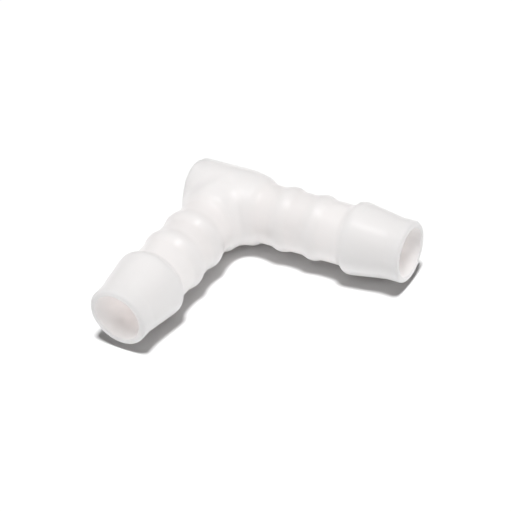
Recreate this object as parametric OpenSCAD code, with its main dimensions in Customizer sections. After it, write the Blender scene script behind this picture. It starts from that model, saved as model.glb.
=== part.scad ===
// Elbow hose connector: one moulding, two equal barbed tails at a right angle, lying flat.
// The run lies along +X and passes the corner to a flat end, and the branch leaves it along -Y.
// Lengths along an arm are measured from the crossing of the two bore axes.

/* [Bore and wall] */
// Diameter of the bore through both arms
bore_d = 15; // [8:0.5:16]
// Outside diameter of the straight nose at each mouth, the hose size
nose_d = 19; // [18:0.1:20.2]
// Outside diameter of the plain stem behind the barb and between the ribs
stem_d = 18.9; // [17.5:0.1:19.9]

/* [Arms] */
// Length of each arm, from the crossing to its mouth
arm_len = 63; // [58:0.5:120]
// Length of the straight nose
nose_len = 5.2; // [2:0.2:8]
// Radius that rounds the outer edge of each mouth
mouth_round = 0.9; // [0.3:0.1:1.4]

/* [Barb] */
// Diameter over the crest of the large barb
barb_d = 22.6; // [21:0.1:26]
// Length of the cone that leads the hose from the nose up to the crest
barb_cone_len = 11.4; // [6:0.2:14]
// Length of the crest
barb_crest_len = 1.2; // [0.4:0.1:3]
// Length of the steep back that drops from the crest to the stem
barb_back_len = 2.6; // [1:0.1:4]

/* [Ribs] */
// Number of low ribs between the body and the barb
rib_count = 2; // [1:1:2]
// Diameter over the crest of a rib
rib_d = 20.6; // [20.3:0.1:22]
// Length of a rib, from foot to foot
rib_len = 7.4; // [3:0.2:9.8]
// Distance from the shoulder of the body to the crest of the first rib
rib_first = 9.1; // [6:0.1:12]
// Distance from one crest to the next
rib_pitch = 10.9; // [10:0.1:13]

/* [Corner body] */
// Diameter of the body at the corner
body_d = 24; // [23:0.1:30]
// Length of the body that stays at that diameter
body_straight_len = 4; // [1:0.5:9]
// Diameter of the body at its shoulder, after its taper
shoulder_d = 23; // [22:0.1:24]
// How far the shoulder stands past the side of the other arm's body
shoulder_past = 0.6; // [0.2:0.1:3]
// Radius that rounds the edge of the shoulder
shoulder_round = 0.5; // [0.1:0.1:0.8]
// Radius of the fillet between the shoulder and the stem
shoulder_fillet = 1; // [0.2:0.1:1.2]
// Wall behind the end of the run's bore
end_wall = 4.5; // [2:0.1:4.5]
// Radius that rounds the edge of the flat end
end_round = 1.2; // [0.3:0.1:2.5]

/* [Hidden] */

// Straight steps in each rounded edge, in the barb's back and in one rib
round_steps = 5;
back_steps = 6;
rib_steps = 12;
$fn = 96;

// How far a bore is cut past its mouth
past_mouth = 1;

body_r = body_d / 2;
shoulder_r = shoulder_d / 2;
stem_r = stem_d / 2;
rib_r = rib_d / 2;
barb_r = barb_d / 2;
nose_r = nose_d / 2;
bore_r = bore_d / 2;

// The flat end is flush with the side of the branch's body
end_reach = body_r;

// Places along an arm, worked out from the corner
shoulder_at = body_r + shoulder_past;
first_crest = shoulder_at + rib_first;

// Places along an arm, worked back from the mouth
nose_at = arm_len - nose_len;
crest_end = nose_at - barb_cone_len;
crest_start = crest_end - barb_crest_len;
barb_foot = crest_start - barb_back_len;

// The origin is under the middle of the whole part, on the surface that it lies on
widest_r = max(body_r, barb_r);
centre_shift = (arm_len - widest_r) / 2;

// Every outline is a list of [radius, distance along the arm]

// Round stretch about a centre, from one angle to another
function arc(centre, r, from, to) =
    [for (i = [0:round_steps])
        let (a = from + (to - from) * i / round_steps)
        [centre[0] + r * cos(a), centre[1] + r * sin(a)]];

// Steep back of the barb, level where it leaves the stem and where it meets the crest
function barb_back() =
    [for (i = [0:back_steps])
        let (t = i / back_steps)
        [stem_r + (barb_r - stem_r) * (1 - cos(180 * t)) / 2, barb_foot + barb_back_len * t]];

// Low rib, a smooth wave that starts and ends level with the stem
function rib(at) =
    [for (i = [0:rib_steps])
        let (t = i / rib_steps)
        [stem_r + (rib_r - stem_r) * (1 - cos(360 * t)) / 2, at + rib_len * (t - 0.5)]];

function ribs() = [for (n = [0:rib_count - 1]) each rib(first_crest + n * rib_pitch)];

// Body out to its shoulder, then the step down to the stem
function shoulder() =
    concat(
        [[body_r, body_straight_len]],
        arc([shoulder_r - shoulder_round, shoulder_at - shoulder_round], shoulder_round, 0, 90),
        arc([stem_r + shoulder_fillet, shoulder_at + shoulder_fillet], shoulder_fillet, 270, 180)
    );

// Steep back, crest, cone and straight nose, to the rounded mouth
function barb() =
    concat(
        barb_back(),
        [[barb_r, crest_end], [nose_r, nose_at]],
        arc([nose_r - mouth_round, arm_len - mouth_round], mouth_round, 0, 90)
    );

// Whole outline of an arm, from the crossing outwards
function arm_side() = concat(shoulder(), ribs(), barb(), [[0, arm_len]]);

// Flat end of the run, on the other side of the crossing
function end_side() =
    concat(
        [[0, -end_reach]],
        arc([body_r - end_round, end_round - end_reach], end_round, -90, 0)
    );

module along_run() {
    rotate([0, 90, 0]) children();
}

module along_branch() {
    rotate([90, 0, 0]) children();
}

module run_solid() {
    along_run() rotate_extrude() polygon(concat(end_side(), arm_side()));
}

module branch_solid() {
    along_branch() rotate_extrude() polygon(concat([[0, 0], [body_r, 0]], arm_side()));
}

// A bore is cut a little past its mouth, so that it is open there
module bore(from) {
    translate([0, 0, from]) cylinder(h = arm_len - from + past_mouth, r = bore_r);
}

// The run's bore passes the corner to its end wall, and the branch's bore opens into its side
module bores() {
    along_run() bore(end_wall - end_reach);
    along_branch() bore(0);
}

module elbow_connector() {
    color("whitesmoke")
    translate([-centre_shift, centre_shift, widest_r])
    difference() {
        union() {
            run_solid();
            branch_solid();
        }
        bores();
    }
}

elbow_connector();
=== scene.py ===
# %% [markdown]
# # An elbow hose connector
# The object is one moulding in natural white plastic: two barbed tails at a right angle, joined by a
# round corner body, with a bore that turns the corner inside. The imported part is loaded first and stays
# where it is.

# %% Load the fixed frame
import math
import bmesh
import bpy
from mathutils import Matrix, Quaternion, Vector


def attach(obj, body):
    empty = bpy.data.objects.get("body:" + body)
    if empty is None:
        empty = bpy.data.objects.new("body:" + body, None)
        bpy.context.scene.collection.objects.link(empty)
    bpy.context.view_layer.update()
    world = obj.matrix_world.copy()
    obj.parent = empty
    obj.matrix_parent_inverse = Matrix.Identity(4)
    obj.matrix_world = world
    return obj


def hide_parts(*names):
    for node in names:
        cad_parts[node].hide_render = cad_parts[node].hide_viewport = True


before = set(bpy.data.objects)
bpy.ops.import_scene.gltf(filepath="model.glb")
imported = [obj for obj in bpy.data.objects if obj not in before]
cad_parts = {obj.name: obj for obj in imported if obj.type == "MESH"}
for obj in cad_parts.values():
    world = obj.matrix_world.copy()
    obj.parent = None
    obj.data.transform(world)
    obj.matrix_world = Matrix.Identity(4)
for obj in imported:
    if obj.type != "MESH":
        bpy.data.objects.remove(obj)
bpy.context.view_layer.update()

MM = 0.001

# %% [markdown]
# ## Where the arms cross
# Everything is built in millimetres around the point where the two bore axes cross, and is scaled to metres
# and moved to its place once, at the end. The run lies along +X and passes the corner to a flat end. The
# branch leaves it along -Y. Lengths along an arm start at the crossing, so both arms share one outline. The
# frame's origin is under the middle of the part, which gives the place of the crossing.

# %% Places and sides
arm_length, body_radius = 63, 12
off_middle = (arm_length - body_radius) / 2
crossing = Vector((-off_middle, off_middle, body_radius))
sides = 96
turn_step = 2 * math.pi / sides
print("one side of the spun tube is", round(body_radius * turn_step, 2), "mm wide at the body")

# %% [markdown]
# ## The corner body
# The body is 24 mm across, narrows along each arm and then drops to the stem. In the photograph its end
# shows in the outline but throws no shadow line. So there is no square shoulder here: two smooth waves are
# added up, a long one for the taper and a short one for the drop.

# %% The body's outline
stem_radius = 9.45
taper_from, taper_to, taper_depth = 4.5, 15.5, 1.4
drop_from, drop_to = 11, 14.6
drop_depth = body_radius - stem_radius - taper_depth


def swell(share):
    """Height of a smooth wave, level at each end: 0 at share 0, 1 at share 1 and 0 again at share 2."""
    return (1 - math.cos(math.pi * share)) / 2


def eased(distance, start, end):
    """Height of a wave that stays at 0 up to its start and at 1 from its end on."""
    return swell(min(1.0, max(0.0, (distance - start) / (end - start))))


def body_at(distance):
    """Radius of the body at a distance from the crossing, down its taper and its drop to the stem."""
    return (body_radius - taper_depth * eased(distance, taper_from, taper_to)
            - drop_depth * eased(distance, drop_from, drop_to))


print("body's radius:", [round(body_at(distance), 2) for distance in (0, taper_from, drop_from, taper_to)])

# %% [markdown]
# ## Rings that meet the mitre
# Two such bodies meet in a mitre. If each ring of the tube is put where a lengthwise line meets the mitre,
# the cut runs through corners of the mesh that are already there, and both arms get the same corners along
# it. No slivers are left, so the seam can be softened afterwards. The meeting point of a line depends on the
# radius there, so it is found in many small steps, each halfway from the last guess to the next.

# %% Place the rings
smallest_gap = 0.35
guesses = 40


def mitre_distance(radius_at, side):
    """How far out the lengthwise line of one side of the tube meets the mitre."""
    distance = radius_at(0)
    for _ in range(guesses):
        distance = (distance + radius_at(distance) * math.cos(side * turn_step)) / 2
    return distance


def mitre_rings(radius_at):
    """Distances of the rings from the crossing outwards, none closer together than the smallest gap."""
    rings, last = [0], mitre_distance(radius_at, 0)
    for side in range(sides // 4 - 1, 0, -1):
        distance = mitre_distance(radius_at, side)
        if min(distance - rings[-1], last - distance) > smallest_gap:
            rings.append(distance)
    return rings + [last]


body_rings = mitre_rings(body_at)
print("body rings:", [round(distance, 2) for distance in body_rings])

# %% [markdown]
# ## The outline of a tail
# A hose is pushed over the straight nose, widens on the long cone and closes again behind the crest of
# the barb. The two low ribs then hold it from inside. The outline is a chain of points, each a distance
# and a radius. Smooth waves make the ribs and the back of the barb, and small arcs round every corner,
# because a moulding has no sharp edge that its mould doesn't give it.

# %% Helpers for an outline
def rounded(corner, before, after, radius, steps=6):
    """Points that round a corner of the outline, between the points before and after it."""
    corner, before, after = Vector(corner), Vector(before), Vector(after)
    to_before, to_after = (before - corner).normalized(), (after - corner).normalized()
    half = to_before.angle(to_after) / 2
    reach = radius / math.tan(half)
    centre = corner + (to_before + to_after).normalized() * radius / math.sin(half)
    start = corner + to_before * reach - centre
    end = corner + to_after * reach - centre
    angle = math.atan2(start.y, start.x)
    turn = (math.atan2(end.y, end.x) - angle + math.pi) % (2 * math.pi) - math.pi
    angles = [angle + turn * step / steps for step in range(steps + 1)]
    return [(centre.x + radius * math.cos(a), centre.y + radius * math.sin(a)) for a in angles]


def rounded_chain(points, radii):
    """A chain through points, with each corner rounded by its radius (0 keeps it)."""
    chain = [points[0]]
    for before, corner, after, radius in zip(points, points[1:], points[2:], radii):
        chain += rounded(corner, before, after, radius) if radius else [corner]
    return chain + [points[-1]]


def wave(start, length, low, high, share, steps):
    """Points on a smooth wave that starts level at the low radius: share 1 climbs, share 2 comes back."""
    points = []
    for step in range(steps + 1):
        t = step / steps
        points.append((start + length * t, low + (high - low) * swell(share * t)))
    return points


arc = rounded((2, 2), before=(0, 2), after=(2, 0), radius=1)
print("middle of a 1 mm round on a square corner:", [round(v, 2) for v in arc[len(arc) // 2]])

# %% The tail's sizes
rib_radius, barb_radius = 10.3, 11.3
nose_radius, bore_radius = 9.5, 7.5
rib_length, rib_crests = 7.4, (21.7, 32.6)
barb_foot, crest_start, crest_end, nose_at = 41.9, 45.4, 46.4, 57.8
crest_round, nose_round, rim_round, bore_round = 6, 8, 0.9, 0.3
into_bore = 2
print("wall at the nose:", nose_radius - bore_radius, "mm, height of the barb:",
      round(barb_radius - stem_radius, 2), "mm")

# %% The tail's outline
climbs, comes_back = 1, 2
slope_steps, rib_steps, back_steps = 12, 18, 10

past_mitre = taper_to - body_rings[-1]
slope_at = [taper_to - past_mitre * step / slope_steps for step in range(slope_steps - 1, -1, -1)]
slope = [(distance, body_at(distance)) for distance in slope_at]
ribs = []
for crest in rib_crests:
    ribs += wave(crest - rib_length / 2, rib_length, stem_radius, rib_radius, comes_back, rib_steps)
back = wave(barb_foot, crest_start - barb_foot, stem_radius, barb_radius, climbs, back_steps)[:-1]
front = rounded_chain(
    [back[-1], (crest_start, barb_radius), (crest_end, barb_radius), (nose_at, nose_radius),
     (arm_length, nose_radius), (arm_length, bore_radius), (arm_length - into_bore, bore_radius)],
    [0, crest_round, nose_round, rim_round, bore_round])[1:-1]
print("tail outline:", len(slope) + len(ribs) + len(back) + len(front), "points")

# %% [markdown]
# ## Even steps
# Long straight stretches of the outline get points in between. Faces that are about as long as they are
# wide bend and shade more evenly than long strips, and the surface softening later needs them.

# %% Fill the outline's long stretches
outside_step, bore_step = 1.1, 2.5


def evened(chain, longest):
    """The chain with points added wherever two neighbours lie further apart than the longest step."""
    filled = [chain[0]]
    for start, end in zip(chain, chain[1:]):
        start, end = Vector(start), Vector(end)
        cuts = math.ceil((end - start).length / longest)
        filled += [tuple(start.lerp(end, cut / cuts)) for cut in range(1, cuts + 1)]
    return filled


bore_rings = mitre_rings(lambda distance: bore_radius)
body = [(distance, body_at(distance)) for distance in body_rings]
bore = [(distance, bore_radius) for distance in reversed(bore_rings)]
outside = evened(body + slope + ribs + back + front, outside_step)
inside = evened([front[-1], bore[0]], bore_step)[1:-1] + bore
tail = outside + inside
print("branch outline:", len(tail), "points")

# %% [markdown]
# ## Spinning the arms
# Each arm is a turned shape, so its outline is spun once round its own axis. The branch's outline starts
# and ends at the crossing. The run's goes on past the crossing, mirrored, to the flat end outside and to
# the end of the bore inside, and both ends close on the axis. The flat end is level with the branch's side.

# %% The run's short end
end_reach = body_radius
end_step, bore_end_step = 0.8, 1.5
flat_end = evened([(-end_reach, 0), (-end_reach, body_at(end_reach))], end_step)
past_body = flat_end + [(-distance, body_at(distance)) for distance in reversed(body_rings[1:])]
past_bore = [(-distance, bore_radius) for distance in bore_rings[1:]]
bore_end = evened([past_bore[-1], (-bore_radius, 0)], bore_end_step)[1:]
print("short end:", len(past_body), "points outside and", len(past_bore) + len(bore_end), "inside")

# %% Spin the two outlines
pole_weld = 0.001


def spun(chain, place, axis):
    """A new bmesh with the chain spun once round an axis through the crossing."""
    bm = bmesh.new()
    verts = [bm.verts.new(place(*point)) for point in chain]
    edges = [bm.edges.new(pair) for pair in zip(verts, verts[1:])]
    bmesh.ops.spin(bm, geom=verts + edges, cent=(0, 0, 0), axis=axis, dvec=(0, 0, 0),
                   angle=2 * math.pi, steps=sides, use_merge=True, use_duplicate=False)
    bmesh.ops.remove_doubles(bm, verts=bm.verts, dist=pole_weld)
    return bm


run = spun(past_body + tail + past_bore + bore_end, lambda d, r: (d, r, 0), (1, 0, 0))
branch = spun(tail, lambda d, r: (r, -d, 0), (0, 1, 0))
print("run:", len(run.faces), "faces, branch:", len(branch.faces), "faces")

# %% [markdown]
# ## The mitre
# Two upright planes through the crossing divide the space between the arms. The branch keeps what lies
# between them on its side, and the run loses the same wedge. Both cuts fall on the same corners, so
# merging doubles sews the two arms into one closed skin, outside and inside at once.

# %% Cut both arms
mitre_normals = ((1, 1, 0), (-1, 1, 0))
on_plane = 0.002


def bisect(bm, normal, clear=False):
    """Cuts a mesh with an upright plane through the crossing, and can clear the side its normal points to."""
    geom = bm.verts[:] + bm.edges[:] + bm.faces[:]
    bmesh.ops.bisect_plane(bm, geom=geom, dist=on_plane, plane_co=(0, 0, 0), plane_no=normal,
                           clear_outer=clear, clear_inner=False)


def in_branch(place):
    """True on the branch's side of both mitre planes."""
    return -place.y > abs(place.x)


for normal in mitre_normals:
    bisect(branch, normal, clear=True)
    bisect(run, normal)
wedge = [face for face in run.faces if in_branch(face.calc_center_median())]
bmesh.ops.delete(run, geom=wedge, context="FACES")
print("cut away from the run:", len(wedge), "faces")

# %% Sew them together
seam_weld = 0.02

branch_mesh = bpy.data.meshes.new("branch_half")
branch.to_mesh(branch_mesh)
branch.free()
moulding = run
moulding.from_mesh(branch_mesh)
bpy.data.meshes.remove(branch_mesh)
bmesh.ops.remove_doubles(moulding, verts=moulding.verts, dist=seam_weld)
bmesh.ops.recalc_face_normals(moulding, faces=moulding.faces)
open_edges = [edge for edge in moulding.edges if not edge.is_manifold]
print("sewn:", len(moulding.faces), "faces,", len(open_edges), "open edges,",
      round(moulding.calc_volume()), "mm3")

# %% [markdown]
# ## Filling out the flat end
# The run's short end has got the taper of an arm, because it shares its rings with the branch. On the real
# part only the arms narrow, and the end beside the branch is as thick as the body. So the skin there is
# pushed out to the body's radius, fully on the far side and less and less towards the branch.

# %% Push the short end out to the body's radius
mid_wall = (bore_radius + stem_radius) / 2
end_skin, edge_width, fade_length = 1, 0.9, 8


def outside_skin(place):
    """True for a place on the outside of the corner and false in its bores."""
    off_run, off_branch = math.hypot(place.y, place.z), math.hypot(place.x, place.z)
    # The middle of the flat end is near the run's axis, so its reach tells that it is outside
    return min(off_run, off_branch) > mid_wall or abs(place.x) > end_reach - end_skin


end_edge = [vert for vert in moulding.verts
            if vert.co.x < edge_width - end_reach
            and math.hypot(vert.co.y, vert.co.z) > body_at(end_reach) - edge_width]
for vert in moulding.verts:
    if vert.co.x < 0 and outside_skin(vert.co):
        t = min(1.0, max(0.0, vert.co.y / fade_length + 1))
        push = 1 + (body_radius / body_at(-vert.co.x) - 1) * t * t * (3 - 2 * t)
        vert.co.y, vert.co.z = vert.co.y * push, vert.co.z * push
print("far side of the end now", round(max(vert.co.y for vert in end_edge), 2), "mm from the run's axis")

# %% [markdown]
# ## Softening the corner
# A mould is cut with round tools, so where the two bodies meet there is a soft hollow and not a crease. A
# bevel would need the same room on both sides of the seam, and there is hardly any at the inner corner and
# beside the flat end. Smoothing only the corners of the mesh near the seam works at every width. The zone
# is narrow at the top, where the two round bodies are level with each other, and widens down their sides.

# %% Soften the seam and the edge of the flat end
end_rounds, seam_rounds = 4, 9
seam_widths = (4, 3, 2, 1.2)
full_width_at = 6


def seam_zone(width):
    """Corners of the outer skin that lie within a width of the seam, less where the crease is shallow."""
    zone = []
    for vert in moulding.verts:
        place = vert.co
        off_seam = abs(-place.y - abs(place.x)) / math.sqrt(2)
        if place.y < 0 and outside_skin(place) and off_seam < width * min(1, -place.y / full_width_at):
            zone.append(vert)
    return zone


def soften(verts, rounds):
    """Moves each corner halfway to the middle of its neighbours, a number of times."""
    for _ in range(rounds):
        bmesh.ops.smooth_vert(moulding, verts=verts, factor=0.5,
                              use_axis_x=True, use_axis_y=True, use_axis_z=True)


soften(end_edge, end_rounds)
for width in seam_widths:
    soften(seam_zone(width), seam_rounds)
print("softened:", len(end_edge), "corners at the end and", len(seam_zone(seam_widths[0])), "along the seam")

# %% [markdown]
# ## One mesh in its place
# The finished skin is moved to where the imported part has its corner, scaled to metres and given to one
# object whose own origin stays at the frame's. It rides on the part's only body and takes the place of the
# plain solid. Faces are shaded smooth, since every edge has its round as real geometry.

# %% Hand the mesh over
bmesh.ops.translate(moulding, verts=moulding.verts, vec=crossing)
bmesh.ops.scale(moulding, verts=moulding.verts, vec=(MM, MM, MM))
mesh = bpy.data.meshes.new("connector_moulding")
moulding.to_mesh(mesh)
moulding.free()
mesh.shade_smooth()
connector = bpy.data.objects.new("connector_moulding", mesh)
bpy.context.scene.collection.objects.link(connector)
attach(connector, "root")
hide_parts("elbow_connector")
print("moulding:", len(mesh.polygons), "faces")

# %% [markdown]
# ## The plastic
# Natural white nylon isn't painted: light enters it, scatters and comes out again a few millimetres away,
# which is why its shaded side stays bright and its thin tails look a little warmer than its thick corner.
# Subsurface scattering gives both.

# %% Start the white plastic
def linked(tree, kind, settings=(), **inputs):
    """A new node with its inputs set to values or linked to other nodes' outputs."""
    node = tree.nodes.new(kind)
    for name, value in settings:
        setattr(node, name, value)
    for name, value in inputs.items():
        socket = node.inputs[name.replace("_", " ")]
        if isinstance(value, bpy.types.NodeSocket):
            tree.links.new(value, socket)
        else:
            socket.default_value = value
    return node


plastic = bpy.data.materials.new("natural_white_plastic")
plastic.use_nodes = True
tree = plastic.node_tree
shader = tree.nodes["Principled BSDF"]
shader.inputs["Subsurface Weight"].default_value = 1.0
shader.inputs["Subsurface Radius"].default_value = (1, 1, 1)
shader.inputs["Subsurface Scale"].default_value = 4 * MM
shader.inputs["IOR"].default_value = 1.5
mesh.materials.append(plastic)
print("light goes", round(shader.inputs["Subsurface Scale"].default_value / MM), "mm into the plastic")

# %% [markdown]
# ## Clouds and grain
# Slow noise on Object coordinates makes the faint clouds of a moulding that cooled unevenly. A fine noise
# varies the gloss and lifts the skin by hundredths of a millimetre, as the wall of a mould does, so the
# bright spots aren't perfectly even. The Mix node has its sockets for every kind of value, and the ones for
# colours are found by their number.

# %% Vary its colour, gloss and surface
cloud_scale, grain_scale = 60, 420
darker, lighter = (0.954, 0.935, 0.929, 1), (0.974, 0.958, 0.953, 1)
glossiest, dullest = 0.29, 0.36
grain_height = 0.06 * MM
color_a, color_b, color_out = 6, 7, 2

place = linked(tree, "ShaderNodeTexCoord").outputs["Object"]
clouds = linked(tree, "ShaderNodeTexNoise", Vector=place, Scale=cloud_scale, Detail=2, Roughness=0.5)
tint = linked(tree, "ShaderNodeMix", [("data_type", "RGBA")])
tree.links.new(clouds.outputs["Fac"], tint.inputs["Factor"])
tint.inputs[color_a].default_value = darker
tint.inputs[color_b].default_value = lighter
tree.links.new(tint.outputs[color_out], shader.inputs["Base Color"])

grain = linked(tree, "ShaderNodeTexNoise", Vector=place, Scale=grain_scale, Detail=3, Roughness=0.55)
dull = linked(tree, "ShaderNodeMapRange", Value=grain.outputs["Fac"], To_Min=glossiest, To_Max=dullest)
tree.links.new(dull.outputs["Result"], shader.inputs["Roughness"])
bump = linked(tree, "ShaderNodeBump", Height=grain.outputs["Fac"], Strength=0.1, Distance=grain_height)
tree.links.new(bump.outputs["Normal"], shader.inputs["Normal"])
print("plastic:", len(tree.nodes), "nodes")

# %% [markdown]
# ## The floor
# The photograph has no visible table, only white with a shadow on it. A plain dull sheet does the same: it
# is far larger than the view, and it has no gloss, so that nothing of the part mirrors in it. To the light
# that bounces between it and the part it is a little darker than to the eye, because a sheet that is lit
# to pure white would otherwise light the part's underside too much.

# %% Lay the floor
half_side = 4

floor_bm = bmesh.new()
bmesh.ops.create_grid(floor_bm, x_segments=1, y_segments=1, size=half_side)
floor_mesh = bpy.data.meshes.new("studio_floor")
floor_bm.to_mesh(floor_mesh)
floor_bm.free()
floor = bpy.data.objects.new("studio_floor", floor_mesh)
bpy.context.scene.collection.objects.link(floor)
print("floor:", [round(side, 1) for side in floor.dimensions], "m")

# %% Make it a dull white
white_to_the_eye, white_to_the_part = 0.9, 0.78

paper = bpy.data.materials.new("studio_floor")
paper.use_nodes = True
sheet = paper.node_tree.nodes["Principled BSDF"]
bounce = linked(paper.node_tree, "ShaderNodeLightPath").outputs["Is Diffuse Ray"]
white = linked(paper.node_tree, "ShaderNodeMapRange", Value=bounce,
               To_Min=white_to_the_eye, To_Max=white_to_the_part)
paper.node_tree.links.new(white.outputs["Result"], sheet.inputs["Base Color"])
sheet.inputs["Roughness"].default_value = 1
sheet.inputs["Specular IOR Level"].default_value = 0
floor_mesh.materials.append(paper)
print("floor's white:", white_to_the_eye, "to the eye and", white_to_the_part, "to the part")

# %% [markdown]
# ## The camera
# The view looks down at the inside of the elbow, with one tail to the right and one towards the viewer. The
# mouth of each tail shows how far it is turned away, and the two tails' lengths give the distance. The
# camera is also rolled a few degrees, as in the photograph, where the right tail points down more than a
# level camera would show.

# %% Set up the camera
def direction(azimuth, elevation):
    """Where an azimuth and elevation in degrees point to, seen from the part, with azimuth 0 along -Y."""
    azimuth, elevation = math.radians(azimuth), math.radians(elevation)
    return Vector((math.sin(azimuth) * math.cos(elevation), -math.cos(azimuth) * math.cos(elevation),
                   math.sin(elevation)))


aim = Vector((-3.79, 4.91, 12.0)) * MM
to_camera, roll = direction(33.67, 36.67), math.radians(-5.59)
camera_away = 449.6 * MM
camera_data = bpy.data.cameras.new("studio_camera")
camera_data.lens = 105.5
camera_data.sensor_width = 36
camera_data.clip_start = 0.01
camera = bpy.data.objects.new("studio_camera", camera_data)
camera.rotation_mode = "QUATERNION"
camera.location = aim + to_camera * camera_away
camera.rotation_quaternion = to_camera.to_track_quat("Z", "Y") @ Quaternion((0, 0, 1), roll)
bpy.context.scene.collection.objects.link(camera)
bpy.context.scene.camera = camera
print("camera", round(camera_away / MM), "mm away with a", camera_data.lens, "mm lens")

# %% [markdown]
# ## Soft studio light
# The photograph was lit by big soft lamps and was then cut out onto white. So the part and the floor get
# lights of their own. A soft light from above and two very wide, weak ones from the left and the right give
# the even white of the part. The wide ones aren't mirrored in its gloss, which would draw grey lines along
# its edges. The bright spots on the ribs come from a small key light, and the streak along the run's cone
# from one that shows in the gloss alone.

# %% Helpers for lamps
lamp_away = 0.8


def only(name, piece):
    """A collection with one piece in it, for lights that reach that piece alone."""
    collection = bpy.data.collections.new(name)
    collection.objects.link(piece)
    return collection


def lamp(name, kind, strength, lights, towards=(0, 0), mirrored=False):
    """A lamp for one collection, towards an azimuth and elevation, that gloss may mirror or not."""
    light = bpy.data.lights.new(name, kind)
    light.energy = strength
    holder = bpy.data.objects.new(name, light)
    to_lamp = direction(*towards)
    holder.rotation_mode = "QUATERNION"
    holder.rotation_quaternion = to_lamp.to_track_quat("Z", "Y")
    holder.location = to_lamp * lamp_away
    holder.visible_glossy = mirrored
    holder.light_linking.receiver_collection = lights
    bpy.context.scene.collection.objects.link(holder)
    return holder


connector_only, floor_only = only("connector_only", connector), only("floor_only", floor)
print("lamps can be kept to:", connector_only.name, "or", floor_only.name)

# %% Light the part
warm_white = (1, 0.985, 0.98)

# Each has a name, an azimuth and elevation, a strength, a width in degrees, and mirrored or not
part_suns = (
    ("key", (98, 79), 0.72, 10, True),
    ("top", (60, 78), 1.53, 30, False),
    ("left", (295, 25), 1.03, 90, False),
    ("right", (115, 25), 0.51, 90, False),
    ("glint", (-22, 77), 0.32, 9, True),
)
for name, towards, strength, wide, mirrored in part_suns:
    sun = lamp(name, "SUN", strength, connector_only, towards, mirrored)
    sun.data.angle = math.radians(wide)
    sun.data.color = warm_white
    # The glint shows in the gloss alone
    sun.visible_diffuse = name != "glint"
print("lights on the part:", [name for name, *_ in part_suns])

# %% [markdown]
# ## The shadow and the glow
# One light for the floor alone draws the narrow soft shadow on the part's near side. Natural nylon glows
# where light gets into it, so three faint lamps in the bore stand for the light that a bright table throws
# through the thin walls.

# %% Light the floor and the bore
wash = lamp("wash", "SUN", 3.65, floor_only, towards=(45, 79))
wash.data.angle = math.radians(13)

mid_tail = 40.5
glow_radius = 5 * MM
glows = (("glow_corner", (0, 0, 0), 0.0011),
         ("glow_run", (mid_tail, 0, 0), 0.00058),
         ("glow_branch", (0, -mid_tail, 0), 0.00066))
for name, from_crossing, strength in glows:
    glow = lamp(name, "POINT", strength, connector_only)
    glow.location = (crossing + Vector(from_crossing)) * MM
    glow.data.shadow_soft_size = glow_radius
    glow.visible_camera = False
print("all lights:", [light.name for light in bpy.data.lights])

# %% [markdown]
# ## White all round
# The world is plain white to the camera and lights nothing, so the lamps alone decide every tone. Light
# scatters many times in a white plastic, so it gets more bounces than usual before it is given up.

# %% Set up the world
world = bpy.data.worlds.new("studio_world")
bpy.context.scene.world = world
world.use_nodes = True
world.node_tree.nodes["Background"].inputs["Color"].default_value = (1, 1, 1, 1)
world.node_tree.nodes["Background"].inputs["Strength"].default_value = 1
world.cycles_visibility.diffuse = False
world.cycles_visibility.glossy = False
bpy.context.scene.view_settings.view_transform = "Standard"
bpy.context.scene.cycles.max_bounces = 24
bpy.context.scene.cycles.diffuse_bounces = 20
bpy.context.scene.cycles.glossy_bounces = 8
print("world:", world.name, "seen by the camera alone")
